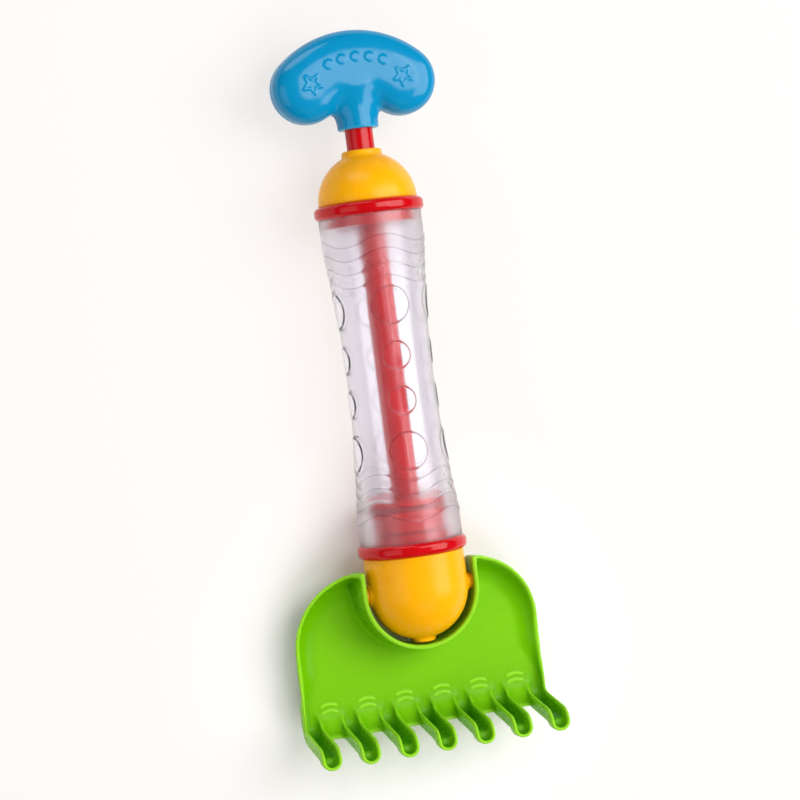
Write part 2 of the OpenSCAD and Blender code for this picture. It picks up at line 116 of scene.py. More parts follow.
def grid_quads(rows, columns, close_rows=True):
    """Quads between neighbours of a grid whose columns close into a ring, and its rows too if asked."""
    last = rows if close_rows else rows - 1
    row, column = np.meshgrid(np.arange(last), np.arange(columns), indexing="ij")
    below, beside = (row + 1) % rows, (column + 1) % columns
    ring = [row*columns + column, row*columns + beside, below*columns + beside, below*columns + column]
    return np.stack(ring, -1).reshape(-1, 4)


def new_piece(name, points, quads, material, node, body, sharp=50, values=None):
    """A smooth mesh from arrays of points in metres and of quads, with its poles merged and its faces turned
    outward. Edges steeper than sharp stay crisp. It stands for its CAD node and rides on the node's body."""
    mesh = bpy.data.meshes.new(name)
    mesh.from_pydata(points.reshape(-1, 3).tolist(), [], quads.tolist())
    for label, numbers in (values or {}).items():
        layer = mesh.attributes.new(label, "FLOAT", "POINT")
        layer.data.foreach_set("value", numbers.ravel().astype(np.float32))
    shell = bmesh.new()
    shell.from_mesh(mesh)
    bmesh.ops.remove_doubles(shell, verts=shell.verts, dist=1e-7)
    bmesh.ops.recalc_face_normals(shell, faces=shell.faces)
    shell.to_mesh(mesh)
    shell.free()
    mesh.polygons.foreach_set("use_smooth", np.ones(len(mesh.polygons), bool))
    mesh.set_sharp_from_angle(angle=np.radians(sharp))
    mesh.materials.append(material)
    piece = bpy.data.objects.new(name, mesh)
    bpy.context.scene.collection.objects.link(piece)
    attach(piece, body)
    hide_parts(node)
    return piece


def node_tree(name):
    """A new material with its node tree, its main shader and a short way to add a wired node."""
    material = bpy.data.materials.new(name)
    material.use_nodes = True
    nodes, links = material.node_tree.nodes, material.node_tree.links
    shader = nodes["Principled BSDF"]

    def add(kind, settings=None, *ordered, **named):
        node = nodes.new("ShaderNode" + kind)
        for label, value in (settings or {}).items():
            setattr(node, label, value)
        wires = list(zip(node.inputs, ordered))
        wires += [(node.inputs[label.replace("_", " ")], value) for label, value in named.items()]
        for socket, value in wires:
            if isinstance(value, bpy.types.NodeSocket):
                links.new(value, socket)
            else:
                socket.default_value = value
        return node.outputs

    return material, shader, links, add


def frosted_clear():
    """Clear plastic: light passes and bends, the bubbles are smooth, and a fine grain frosts the rest, more
    so toward the thick ends. Thin grey lines of painted shade run along the edges of the bubbles and the wave
    lines."""
    material, shader, links, add = node_tree("clear_barrel")
    shader.inputs["IOR"].default_value = 1.49
    place = add("TexCoord")["Object"]
    inside = add("Attribute", {"attribute_name": "bubble"})["Fac"]
    count = add("Attribute", {"attribute_name": "wave"})["Fac"]
    off_bubble = add("Math", {"operation": "ABSOLUTE"}, inside)["Value"]
    off_wave = add("Math", {"operation": "PINGPONG"}, count, half_wave)["Value"]
    # Painted shade: a thin grey line on each bubble's edge and each wave line, where the surface steps; it
    # also lets less light pass.
    bubble_line = add("MapRange", Value=off_bubble, From_Min=0.18, From_Max=0.5,
                      To_Min=1.0, To_Max=0.0)["Result"]
    wave_line = add("MapRange", Value=off_wave, From_Min=0.01, From_Max=0.09,
                    To_Min=0.8, To_Max=0.0)["Result"]
    line = add("Math", {"operation": "MAXIMUM"}, bubble_line, wave_line)["Value"]
    shade = add("MixRGB", None, line, (0.90, 0.89, 0.945, 1), (0.34, 0.33, 0.38, 1))["Color"]
    links.new(shade, shader.inputs["Base Color"])
    passed = add("MapRange", Value=line, To_Min=0.98, To_Max=0.95)["Result"]
    links.new(passed, shader.inputs["Transmission Weight"])
    grain = add("TexNoise", Vector=place, Scale=160.0, Detail=3.0)["Fac"]
    frost = add("MapRange", Value=grain, From_Min=0.3, From_Max=0.7, To_Min=0.16, To_Max=0.22)["Result"]
    along = add("SeparateXYZ", None, place)["Y"]
    past_middle = add("Math", {"operation": "SUBTRACT"}, along, middle_shift*mm)["Value"]
    from_middle = add("Math", {"operation": "ABSOLUTE"}, past_middle)["Value"]
    thick = add("MapRange", Value=from_middle, From_Min=0.048, From_Max=0.072, To_Max=0.22)["Result"]
    matt = add("Math", {"operation": "ADD"}, frost, thick)["Value"]
    rough = add("MapRange", Value=inside, From_Min=-0.4, From_Max=0.4, To_Min=matt, To_Max=0.06)["Result"]
    links.new(rough, shader.inputs["Roughness"])
    ripple = add("TexNoise", Vector=place, Scale=45.0, Detail=2.0)["Fac"]
    links.new(add("Bump", Height=ripple, Strength=0.12, Distance=0.0006)["Normal"], shader.inputs["Normal"])
    return material


barrel_columns, relief_rows, end_rows, bore_rows = 352, 262, 4, 8
relief_half, plain_from, smooth_bore = 72.5, 73.0, 1.5
plain_end = np.linspace(barrel_half, plain_from, end_rows)
relief_stations = np.linspace(relief_half, -relief_half, relief_rows)
outer_stations = np.concatenate([plain_end, relief_stations, -plain_end[::-1]])
bore_stations = np.linspace(-barrel_half, mouth_floor, bore_rows)
inner_stations = np.concatenate([bore_stations, [mouth_floor, barrel_half]])
inner_radii = np.concatenate([np.full(bore_rows, bore_r), [mouth_r, mouth_r]])
barrel_angles = np.arange(barrel_columns)*2*np.pi/barrel_columns
outer_radii, inside, wave_lines = barrel_outside(outer_stations[:, None], barrel_angles[None])
barrel_points = np.concatenate([
    round_axis(outer_radii, outer_stations[:, None], barrel_angles[None]),
    round_axis(inner_radii[:, None], inner_stations[:, None], barrel_angles[None])])
bore_grid = (len(inner_radii), barrel_columns)
barrel = new_piece("clear_barrel", barrel_points, grid_quads(len(barrel_points), barrel_columns),
                   frosted_clear(), "barrel", "barrel", sharp=60,
                   values={"bubble": np.concatenate([inside, np.full(bore_grid, smooth_bore)]),
                           "wave": np.concatenate([wave_lines, np.full(bore_grid, half_wave)])})
barrel.visible_shadow = False
barrel.visible_diffuse = False


# Flange rings: two red injection-moulded rings with round edges. Each has a spigot glued into the barrel
# and another that carries a yellow cap, and the upper one has an inner lip that stops the piston.
red, deep_red = (0.60, 0.002, 0.006, 1), (0.52, 0.001, 0.004, 1)
ring_r, ring_round, ring_h, spigot_h = 27.5, 2.4, 6.5, 4.0
ring_top = barrel_half + ring_h
spigot_top = ring_top + spigot_h
lip_r, upper_glued_r, upper_glued_end, dome_spigot_r = 18.5, 22.8, 76.75, 22.7
lower_in_r, lower_glued_r, lower_glued_end, cup_spigot_r = 15.0, 19.9, -77.25, 22.5
turn_count = 160


def rounded_outline(corners, closed=True, steps=7, flat=0.25, crisp=0.05):
    """Outline through corners given as radius, station and rounding. Each corner becomes an arc that touches
    both of its sides, and a point just past each end of the arc keeps the sides flat. An open outline keeps
    its two end points as they are."""
    corners = np.array(corners, float)
    here, rounding = corners[:, :2], np.maximum(corners[:, 2:], crisp)
    back, ahead = np.roll(here, 1, 0) - here, np.roll(here, -1, 0) - here
    back /= np.linalg.norm(back, axis=1, keepdims=True)
    ahead /= np.linalg.norm(ahead, axis=1, keepdims=True)
    half = np.arccos(np.clip((back*ahead).sum(1, keepdims=True), -1, 1))/2
    tangent = rounding/np.tan(half)
    middle = here + (back + ahead)/np.linalg.norm(back + ahead, axis=1, keepdims=True)*rounding/np.sin(half)
    first, last = here + back*tangent - middle, here + ahead*tangent - middle
    start = np.arctan2(first[:, 1], first[:, 0])[:, None]
    sweep = np.arctan2(last[:, 1], last[:, 0])[:, None] - start
    sweep = (sweep + np.pi) % (2*np.pi) - np.pi
    turn = start + sweep*np.linspace(0, 1, steps + 1)[None]
    arcs = middle[:, None] + rounding[:, None]*np.stack([np.cos(turn), np.sin(turn)], -1)
    before, after = here + back*(tangent + flat), here + ahead*(tangent + flat)
    arcs = np.concatenate([before[:, None], arcs, after[:, None]], 1)
    if closed:
        return arcs.reshape(-1, 2)
    return np.concatenate([here[:1], arcs[1:-1].reshape(-1, 2), here[-1:]])


def turned(outline, count=turn_count):
    """A closed outline of radius and station carried once round the barrel's axis."""
    angle = np.arange(count)*2*np.pi/count
    return round_axis(outline[:, None, 0], outline[:, None, 1], angle[None])


def moulded_plastic(name, colour, deep, roughness, peel=0.02, gloss=0.3, edge=None, groove=None):
    """Glossy injection-moulded plastic. A wide noise drifts between two close shades as the melt flowed, a
    fine noise moves the roughness, and a low bump gives the skin its slight orange peel. Where an edge colour
    is given, a painted highlight lifts the colour along thin edges, and a given shade colour paints shade
    into hollows."""
    material, shader, links, add = node_tree(name)
    place = add("TexCoord")["Object"]
    flow = add("TexNoise", Vector=place, Scale=38.0, Detail=4.0, Distortion=0.8)["Fac"]
    mix = add("MapRange", Value=flow, From_Min=0.3, From_Max=0.7)["Result"]
    shade = add("MixRGB", Fac=mix, Color1=colour, Color2=deep)["Color"]
    # Painted highlight: the edge colour is mixed in where the edge attribute marks thin bright edges.
    if edge:
        lift = add("Attribute", {"attribute_name": "edge"})["Fac"]
        shade = add("MixRGB", None, lift, shade, edge)["Color"]
    # Painted shade: the shade colour is mixed in where the attribute marks hollows.
    if groove:
        shade_share = add("Attribute", {"attribute_name": "groove"})["Fac"]
        shade = add("MixRGB", None, shade_share, shade, groove)["Color"]
    links.new(shade, shader.inputs["Base Color"])
    fine = add("TexNoise", Vector=place, Scale=520.0, Detail=3.0)["Fac"]
    rough = add("MapRange", Value=fine, From_Min=0.25, From_Max=0.75,
                To_Min=roughness*0.8, To_Max=roughness*1.25)
    links.new(rough["Result"], shader.inputs["Roughness"])
    skin_bump = add("TexNoise", Vector=place, Scale=240.0, Detail=2.0)["Fac"]
    bump = add("Bump", Height=skin_bump, Strength=peel, Distance=0.0001)
    links.new(bump["Normal"], shader.inputs["Normal"])
    shader.inputs["IOR"].default_value = 1.5
    shader.inputs["Specular IOR Level"].default_value = gloss
    return material


red_plastic = moulded_plastic("red_plastic", red, deep_red, roughness=0.13)
upper_ring = rounded_outline([
    (lip_r, upper_glued_end, 0.4), (upper_glued_r, upper_glued_end, 0.4), (upper_glued_r, barrel_half, 0),
    (ring_r, barrel_half, ring_round), (ring_r, ring_top, ring_round), (dome_spigot_r, ring_top, 0.2),
    (dome_spigot_r, spigot_top, 0.4), (lip_r, spigot_top, 0.4)])
lower_ring = rounded_outline([
    (lower_in_r, lower_glued_end, 0.5), (lower_glued_r, lower_glued_end, 0.6),
    (lower_glued_r, -barrel_half, 0), (ring_r, -barrel_half, ring_round), (ring_r, -ring_top, ring_round),
    (cup_spigot_r, -ring_top, 0.2), (cup_spigot_r, -spigot_top, 0.4), (lower_in_r, -spigot_top, 0.4)])
new_piece("upper_flange_ring", turned(upper_ring), grid_quads(len(upper_ring), turn_count), red_plastic,
          "upper_ring", "barrel")
new_piece("lower_flange_ring", turned(lower_ring), grid_quads(len(lower_ring), turn_count), red_plastic,
          "lower_ring", "barrel")


# Upper cap: a yellow moulded dome pressed and glued on the upper ring's spigot. A short collar on top
# of it guides the plunger rod, and the guide runs on as a sleeve inside.
yellow, deep_yellow = (0.98, 0.45, 0.001, 1), (0.97, 0.415, 0.001, 1)
dome_r, dome_wall, dome_y, dome_top_r = 24.8, 2.0, 88.75, 12.0
cap_foot, foot_in, row_gap = 88.3, 24.0, 0.01
guide_r, guide_out_r, guide_foot, guide_top = 7.1, 10.1, 111.9, 114.5
guide_round, guide_draft, root_out, root_drop = 1.1, 0.1, 0.3, 0.7
lead_r, lead_h, lead_end = 0.4, 0.5, 2.0
sleeve_r, sleeve_end, sleeve_top, sleeve_fillet = 9.1, 100.5, 109.5, 0.3


def sphere_line(radius, centre, r0, r1, side, count=40):
    """Meridian of a sphere from distance r0 to distance r1 off the axis, above its centre or below it."""
    tilt = np.linspace(np.arcsin(r0/radius), np.arcsin(r1/radius), count)
    return np.stack([radius*np.sin(tilt), centre + side*radius*np.cos(tilt)], -1)


def blend_line(p0, p1, p2, count=10):
    """Curve from p0 to p2 that starts and ends along the lines to p1: (1-t)^2 p0 + 2t(1-t) p1 + t^2 p2."""
    t = np.linspace(0, 1, count)[:, None]
    return (1 - t)**2*np.array(p0) + 2*t*(1 - t)*np.array(p1) + t**2*np.array(p2)


dome_shoulder = sphere_line(dome_r, dome_y, dome_r, dome_top_r, 1)
dome_in = dome_r - dome_wall
guide_top_r = guide_out_r - guide_draft
dome_outline = np.concatenate([
    rounded_outline([(foot_in, cap_foot, 0.1), (dome_r, cap_foot, 0.5), (dome_r, dome_y - row_gap, 0)],
                    closed=False),
    dome_shoulder,
    blend_line(dome_shoulder[-1], (guide_out_r + root_out, guide_foot - root_drop),
               (guide_out_r + guide_draft, guide_foot)),
    blend_line((guide_out_r, guide_top - guide_round), (guide_top_r, guide_top),
               (guide_top_r - guide_round, guide_top), 8),
    blend_line((guide_r + lead_r, guide_top), (guide_r, guide_top), (guide_r, guide_top - lead_h), 6),
    [(guide_r, guide_top - lead_end), (guide_r, sleeve_end), (sleeve_r, sleeve_end), (sleeve_r, sleeve_top)],
    sphere_line(dome_in, dome_y, sleeve_r + sleeve_fillet, dome_in - row_gap, 1),
    [(dome_in, cap_foot)]])
yellow_plastic = moulded_plastic("yellow_plastic", yellow, deep_yellow, roughness=0.27, peel=0.01,
                                 gloss=0.22)
new_piece("upper_dome_cap", turned(dome_outline), grid_quads(len(dome_outline), turn_count), yellow_plastic,
          "upper_cap", "barrel")


# Lower cap: a yellow moulded cup with a round end, glued on the lower ring's spigot. A small nozzle nub
# closes the round end, and two stub trunnions on round pads carry the rake. A rubber gasket lies inside.
cap_r, cap_bore_r, pivot_y = 25.3, 22.6, -106.15
nub_r, nub_foot, nub_end, nub_round, nub_fillet = 6.0, -131.5, -133.0, 1.5, 2.2
nozzle_r, nozzle_lead, nozzle_deep = 1.5, 0.5, 3.0
pad_r, pad_foot, pad_hollow_r, pad_hollow = 11.5, 21.3, 7.8, 23.5
pad_tip_r, pad_end, pin_r, pin_end, hidden_end = 5.0, 26.0, 4.0, 28.6, 20.6
gasket_in, gasket_out, gasket_t, gasket_round, ledge_t = 20.1, 22.5, 1.2, 0.35, 1.6
gasket_top = -spigot_top
gasket_low = gasket_top - gasket_t
ledge_low = gasket_low - ledge_t
cap_end = sphere_line(cap_r, pivot_y, cap_r, nub_r + nub_fillet, -1)
cap_outline = np.concatenate([
    rounded_outline([(cap_bore_r, -cap_foot, 0.1), (cap_r, -cap_foot, 0.5), (cap_r, pivot_y, 0)],
                    closed=False),
    cap_end[1:],
    blend_line(cap_end[-1], (nub_r + 0.2, nub_foot + 0.9), (nub_r, nub_foot)),
    blend_line((nub_r, nub_foot - 0.2), (nub_r, nub_end), (nub_r - nub_round, nub_end), 8),
    blend_line((nozzle_r + nozzle_lead, nub_end), (nozzle_r, nub_end), (nozzle_r, nub_end + nozzle_lead), 5),
    [(nozzle_r, nub_end + nozzle_deep), (nozzle_r, pivot_y - cap_bore_r + 0.05)],
    sphere_line(cap_bore_r, pivot_y, nozzle_r + 0.02, cap_bore_r - row_gap, -1)[1:],
    [(cap_bore_r, ledge_low), (gasket_in, ledge_low), (gasket_in, gasket_low), (cap_bore_r, gasket_low)]])


def trunnion(side, count=72):
    """A bell-shaped pad and a pin on the pivot's sideways axis: an outline of radius and reach, carried
    once round that axis."""
    outline = np.concatenate([
        [(0, hidden_end), (pad_r, hidden_end)],
        blend_line((pad_r, pad_foot), (pad_hollow_r, pad_hollow), (pad_tip_r + 0.2, pad_end - 0.65)),
        blend_line((pad_tip_r + 0.1, pad_end - 0.35), (pad_tip_r, pad_end), (pad_tip_r - 0.5, pad_end), 6),
        rounded_outline([(pin_r, pad_end, 0), (pin_r, pin_end, 0.5), (0, pin_end, 0)], closed=False)])
    angle = np.arange(count)*2*np.pi/count
    radius, reach = outline[:, None, 0], outline[:, None, 1]
    parts = np.broadcast_arrays(side*reach, pivot_y + middle_shift + radius*np.sin(angle),
                                axis_height + radius*np.cos(angle))
    return np.stack(parts, -1).reshape(-1, 3)*mm, grid_quads(len(outline), count, close_rows=False)


def joined(*shells):
    """Several shells of points and quads as one, with the later quads counted on from the earlier points."""
    starts = np.cumsum([0] + [len(points) for points, quads in shells[:-1]])
    return (np.concatenate([points for points, quads in shells]),
            np.concatenate([quads + start for (points, quads), start in zip(shells, starts)]))


cup = (turned(cap_outline).reshape(-1, 3), grid_quads(len(cap_outline), turn_count))
cap_points, cap_quads = joined(cup, trunnion(-1), trunnion(1))
new_piece("lower_cup_cap", cap_points, cap_quads, yellow_plastic, "lower_cap", "barrel")


def soft_rubber(name, shade, chalk):
    """Soft moulded rubber: matt, with a fine speckle of chalk and a low grain."""
    material, shader, links, add = node_tree(name)
    place = add("TexCoord")["Object"]
    speckle = add("TexNoise", Vector=place, Scale=900.0, Detail=4.0)["Fac"]
    mix = add("MapRange", Value=speckle, From_Min=0.45, From_Max=0.8)["Result"]
    links.new(add("MixRGB", None, mix, shade, chalk)["Color"], shader.inputs["Base Color"])
    rough = add("MapRange", Value=speckle, To_Min=0.5, To_Max=0.75)
    links.new(rough["Result"], shader.inputs["Roughness"])
    bump = add("Bump", Height=speckle, Strength=0.2, Distance=0.0002)
    links.new(bump["Normal"], shader.inputs["Normal"])
    return material


black_rubber = soft_rubber("black_rubber", (0.012, 0.012, 0.013, 1), (0.045, 0.045, 0.048, 1))
gasket = rounded_outline([(gasket_in, gasket_low, gasket_round), (gasket_out, gasket_low, gasket_round),
                          (gasket_out, gasket_top, gasket_round), (gasket_in, gasket_top, gasket_round)],
                         flat=0.05)
new_piece("nozzle_gasket", turned(gasket), grid_quads(len(gasket), turn_count), black_rubber,
          "lower_gasket", "barrel")


# Piston and seal: a red moulded piston with two flanges, a skirt and a socket for the rod. A red rubber
# ring lies loose in the groove between the flanges and slides along the bore.
piston_r, piston_top, flange_t, groove_r, groove_w = 19.7, -61.25, 2.4, 17.3, 2.7
skirt_in, skirt_r, skirt_end, hub_r, hub_end = 16.0, 18.0, -76.75, 9.0, -75.25
rod_socket_r, rod_socket_floor = 7.05, -73.25
seal_r, seal_half, seal_steps = 18.65, 1.2, 28
groove_top = piston_top - flange_t
groove_low = groove_top - groove_w
piston_under = groove_low - flange_t
piston_outline = rounded_outline([
    (0, hub_end, 0), (hub_r, hub_end, 0.6), (hub_r, piston_under, 0.3), (skirt_in, piston_under, 0.3),
    (skirt_in, skirt_end, 0.4), (skirt_r, skirt_end, 0.5), (skirt_r, piston_under, 0.3),
    (piston_r, piston_under, 0.4), (piston_r, groove_low, 0.4), (groove_r, groove_low, 0.2),
    (groove_r, groove_top, 0.2), (piston_r, groove_top, 0.4), (piston_r, piston_top, 0.5),
    (rod_socket_r, piston_top, 0.1), (rod_socket_r, rod_socket_floor, 0.1), (0, rod_socket_floor, 0)],
    closed=False, flat=0.1)
piston_quads = grid_quads(len(piston_outline), turn_count, close_rows=False)
new_piece("pump_piston", turned(piston_outline), piston_quads, red_plastic,
          "piston", "plunger")
section = np.arange(seal_steps)*2*np.pi/seal_steps
groove_middle = (groove_top + groove_low)/2
seal_ring = np.stack([seal_r + seal_half*np.cos(section), groove_middle + seal_half*np.sin(section)], -1)
red_rubber = soft_rubber("red_rubber", (0.34, 0.004, 0.012, 1), (0.42, 0.02, 0.03, 1))
new_piece("piston_seal_ring", turned(seal_ring), grid_quads(len(seal_ring), turn_count), red_rubber,
          "piston_seal", "seal")


# Plunger rod: a red moulded tube that runs through the dome's collar. Its lower end is glued in the
# piston's socket, and a flange at its top is trapped between the two halves of the handle.
rod_in, rod_r, rod_low, rod_top = 5.0, 7.0, -73.2, 143.5
rod_flange_r, rod_flange_low = 8.5, 141.0
rod_outline = rounded_outline([
    (rod_in, rod_low, 0.3), (rod_r, rod_low, 0.3), (rod_r, rod_flange_low, 0.1),
    (rod_flange_r, rod_flange_low, 0.2), (rod_flange_r, rod_top, 0.2), (rod_in, rod_top, 0.3)])
new_piece("plunger_tube", turned(rod_outline), grid_quads(len(rod_outline), turn_count), red_plastic,
          "plunger_rod", "plunger")


# Handle: two blue moulded shells of a kidney-shaped grip, pegged and glued together on a fine parting
# line. A neck below the grip takes the rod. Each face has two low stars and a row of round dots between.
blue, deep_blue, highlight_blue = (0.001, 0.255, 0.50, 1), (0.001, 0.24, 0.475, 1), (0.03, 0.38, 0.64, 1)
lobe_r, lobe_x, lobe_y = 17.6, 24.4, 147.35
bend_r, bend_y = 36.2, 120.61
half_thick, crown = 12.0, 2.9
neck_r, neck_end, neck_top, neck_blend, neck_dome = 10.35, 125.0, 154.0, 5.5, 9.5
neck_round, parting, parting_round = 0.9, 0.05, 0.25
rod_gap, flange_gap, bore_round = 0.08, 0.1, 0.4
star_points, star_r, star_waist, star_sweep = 5, 5.2, 0.45, np.radians(40)
star_rise, star_line = 0.4, 0.75
dot_count, dot_r, dot_edge, dot_rise, dot_sweep, dot_off = 5, 2.2, 1.2, 0.35, np.radians(21), 3.0
shell_pitch = 0.46


def both(*distances, rounding):
    """Where all the given shapes overlap, with the edges between them rounded: each distance is drawn in by
    the rounding, the outside part is measured as a length, and the result is let out again."""
    inner = [d + rounding for d in distances]
    outside = np.sqrt(sum(np.maximum(d, 0)**2 for d in inner))
    return outside + np.minimum(np.maximum.reduce(np.broadcast_arrays(*inner)), 0) - rounding


def either(a, b, fillet):
    """Two shapes together, with a fillet in the hollow: the smaller distance, less h^2/4 fillet, where h is
    how much closer than the fillet the two distances are."""
    h = np.maximum(fillet - np.abs(a - b), 0)
    return np.minimum(a, b) - h*h/(4*fillet)


def without(a, b, rounding):
    """The first shape less the second, with the new edge rounded."""
    return -either(-a, b, rounding)


def softened(field):
    """A sampled field averaged with its neighbours, weighted 1, 2, 1 along each axis, which rounds edges."""
    for axis in range(3):
        padded = np.pad(field, [(1, 1) if k == axis else (0, 0) for k in range(3)], mode="edge")
        field = (np.delete(padded, [-2, -1], axis) + 2*field + np.delete(padded, [0, 1], axis))/4
    return field


def skin(field, corner, pitch):
    """Closed surface on which a sampled field is zero. Each cell of the grid that it crosses holds one point,
    the mean of the crossings on the cell's edges. Each crossed edge holds one quad, between the four cells
    round it. The field's slope at each point gives its normal, and the slope's own rise tells sharp edges."""
    size = np.array(field.shape)
    stride = np.array([size[1]*size[2], size[2], 1])
    unit = np.eye(3, dtype=int)
    cells, marks = [], []
    for axis in range(3):
        low = np.delete(field, -1, axis)
        high = np.delete(field, 0, axis)
        crossed = (low < 0) != (high < 0)
        index = np.argwhere(crossed)
        mark = index.astype(float)
        mark[:, axis] += low[crossed]/(low[crossed] - high[crossed])
        u, v = unit[(axis + 1) % 3], unit[(axis + 2) % 3]
        cells.append(np.stack([index, index - u, index - u - v, index - v], 1) @ stride)
        marks.append(np.repeat(mark, 4, 0))
    cells, marks = np.concatenate(cells), np.concatenate(marks)
    ring = np.unique(cells.ravel(), return_inverse=True)[1]
    share = np.bincount(ring)
    points = np.stack([np.bincount(ring, marks[:, k])/share for k in range(3)], -1)
    base = np.floor(points).astype(int)
    rest = points - base
    slopes = np.gradient(field, pitch)
    rise = softened(sum(np.gradient(slope, pitch, axis=k) for k, slope in enumerate(slopes)))
    normals, bend = np.zeros_like(points), np.zeros(len(points))
    for step in np.ndindex(2, 2, 2):
        weight = np.prod(np.where(step, rest, 1 - rest), 1)
        near = tuple((base + np.array(step)).T)
        normals += weight[:, None]*np.stack([slope[near] for slope in slopes], -1)
        bend += weight*rise[near]
    normals /= np.linalg.norm(normals, axis=1, keepdims=True) + 1e-9
    return np.array(corner) + points*pitch, ring.reshape(-1, 4), normals, bend


def outline_distance(points, across, up):
    """Distance of a grid of places from a closed outline, negative inside. It is the shortest distance to any
    side, and the sign is the parity of the sides that a ray to the right crosses."""
    tiny = 1e-12
    a, b = points, np.roll(points, -1, 0)
    place = np.stack(np.broadcast_arrays(across, up), -1)[..., None, :]
    along = b - a
    share = np.clip(((place - a)*along).sum(-1)/np.maximum((along**2).sum(-1), tiny), 0, 1)
    away = np.sqrt((((place - a) - share[..., None]*along)**2).sum(-1)).min(-1)
    over = (a[:, 1] > place[..., 1]) != (b[:, 1] > place[..., 1])
    rise = np.where(np.abs(along[:, 1]) < tiny, tiny, along[:, 1])
    right = place[..., 0] < a[:, 0] + (place[..., 1] - a[:, 1])*along[:, 0]/rise
    return np.where((over & right).sum(-1) % 2 == 1, -away, away)


def grip_half(x, y, z):
    """Front half of the handle as a distance. The grip's section is a superellipse across a bent middle line
    with round ends, the neck is a round bar blended into it, and the stars and dots lift the face."""
    out = np.hypot(x, y - bend_y)
    turn = np.arctan2(x, y - bend_y)
    sweep = np.arcsin(lobe_x/bend_r)
    off_lobe = np.hypot(np.abs(x) - lobe_x, y - lobe_y)
    off_line = np.where(np.abs(turn) < sweep, np.abs(out - bend_r), off_lobe)
    section = ((off_line/lobe_r)**crown + (np.abs(z)/half_thick)**crown)**(1/crown)
    grip = (section - 1)*half_thick
    point = np.arange(2*star_points)
    reach = np.where(point % 2, star_waist, 1)*star_r
    star_turn = point*np.pi/star_points
    star_outline = np.stack([reach*np.sin(star_turn), reach*np.cos(star_turn)], -1)
    star = outline_distance(star_outline, (np.abs(turn) - star_sweep)*bend_r, out - bend_r)
    grip = grip - star_rise*eased(1 - np.abs(star)/star_line)
    dot_pitch = 2*dot_sweep/(dot_count - 1)
    dot_turn = np.clip(np.round((turn + dot_sweep)/dot_pitch), 0, dot_count - 1)*dot_pitch - dot_sweep
    dot = np.hypot((turn - dot_turn)*bend_r, out - bend_r - dot_off)
    grip = grip - dot_rise*eased((dot_r - dot)/dot_edge + 0.5)
    off_axis = np.hypot(x, z)
    neck = both(off_axis - neck_r, y - neck_top, rounding=neck_dome)
    neck = both(neck, neck_end - y, rounding=neck_round)
    body = either(grip, neck, neck_blend)
    past_rod = y - (rod_top + flange_gap)
    bore = both(off_axis - (rod_r + rod_gap), past_rod, rounding=0.3)
    pocket = both(off_axis - (rod_flange_r + flange_gap), past_rod, rod_flange_low - flange_gap - y,
                  rounding=0.2)
    body = without(body, np.minimum(bore, pocket), bore_round)
    return both(body, parting - z, rounding=parting_round)


def painted_edge_highlight(bend, strength, full_bend, start):
    """How strongly a thin edge is painted with a highlight: it eases in as the bend grows past a start, and
    is then full.
    """
    return strength*eased(bend/full_bend - start)


# The grid's corner is set so that no flat face lies on a layer of the grid.
grip_corner = np.array([-43.5, 123.6, -0.9])
grip_counts = (190, 114, 33)
grip_axes = [low + np.arange(count)*shell_pitch for low, count in zip(grip_corner, grip_counts)]
grip_field = grip_half(grip_axes[0][:, None, None], grip_axes[1][None, :, None], grip_axes[2][None, None])
grip_points, grip_faces, grip_normals, grip_bend = skin(grip_field, grip_corner, shell_pitch)
# The grip's thin convex edges get a painted highlight in a paler blue.
blue_plastic = moulded_plastic("blue_plastic", blue, deep_blue, roughness=0.14, peel=0.015, edge=highlight_blue)
grip_painted_highlight = painted_edge_highlight(grip_bend, strength=0.6, full_bend=0.8, start=0.3)
for name, node, side in (("grip_front_shell", "handle_front", 1), ("grip_back_shell", "handle_back", -1)):
    placed = (grip_points*(1, 1, side) + (0, middle_shift, axis_height))*mm
    shell = new_piece(name, placed, grip_faces[:, ::side], blue_plastic, node, "plunger",
                      sharp=180, values={"edge": grip_painted_highlight})
    shell.data.normals_split_custom_set_from_vertices((grip_normals*(1, 1, side)).tolist())


# Rake: one green moulding. A thin dished plate with a raised rim and shoulders, a U-shaped collar whose
# sockets turn on the lower cap's trunnions, a sloping web, and seven channelled tines with round spoon tips.
green, deep_green = (0.160, 0.485, 0.0005, 1), (0.148, 0.46, 0.0005, 1)
# The bright green is a painted highlight for thin edges and the step arcs, and the shade green is painted
# shade for creases and channel floors.
highlight_green, shade_green = (0.34, 0.74, 0.03, 1), (0.012, 0.20, 0.002, 1)
collar_in, collar_out, collar_front = 27.8, 30.2, 8.0
floor_w, back_w, plate_end = -15.5, -17.5, 55.9
rake_half, shoulder_r, horn_h = 64.35, 36.5, 12.4
rim_wall, rim_w, rim_slope_end, rim_end = 2.0, -10.9, 31.0, 62.8
shoulder_w, gusset_w, flare = -3.5, 9.0, 0.32
dish_r, dish_end_r, dish_from, dish_to = 7.5, 1.0, 36.0, 51.0
flare_from, flare_to = 44.0, 55.0
tine_pitch, tine_side, tine_wall, tine_reach = 19.75, 3, 1.75, 65.2
tine_half, tip_end, tip_w, channel_depth = 5.1, 79.8, 21.9, 5.5
tine_angle = np.radians(80)
web_start, web_len, web_rise = 53.9, 14.3, 8.4
step_start, step_pitch, step_r, step_h, step_half = 52.6, 3.2, 9.0, 0.35, 0.55
gap_half = 4.75
socket_r, socket_end = 4.08, 28.75
moulding_t, edge_round, collar_fillet, channel_round = 2.0, 0.6, 2.5, 1.8
edge_bends, channel_bends, back_bends = (9, 8), (8, 2.5), (10, 0.5)
web_lap, past_tip, over_tip = 2.0, 2.0, 6.0
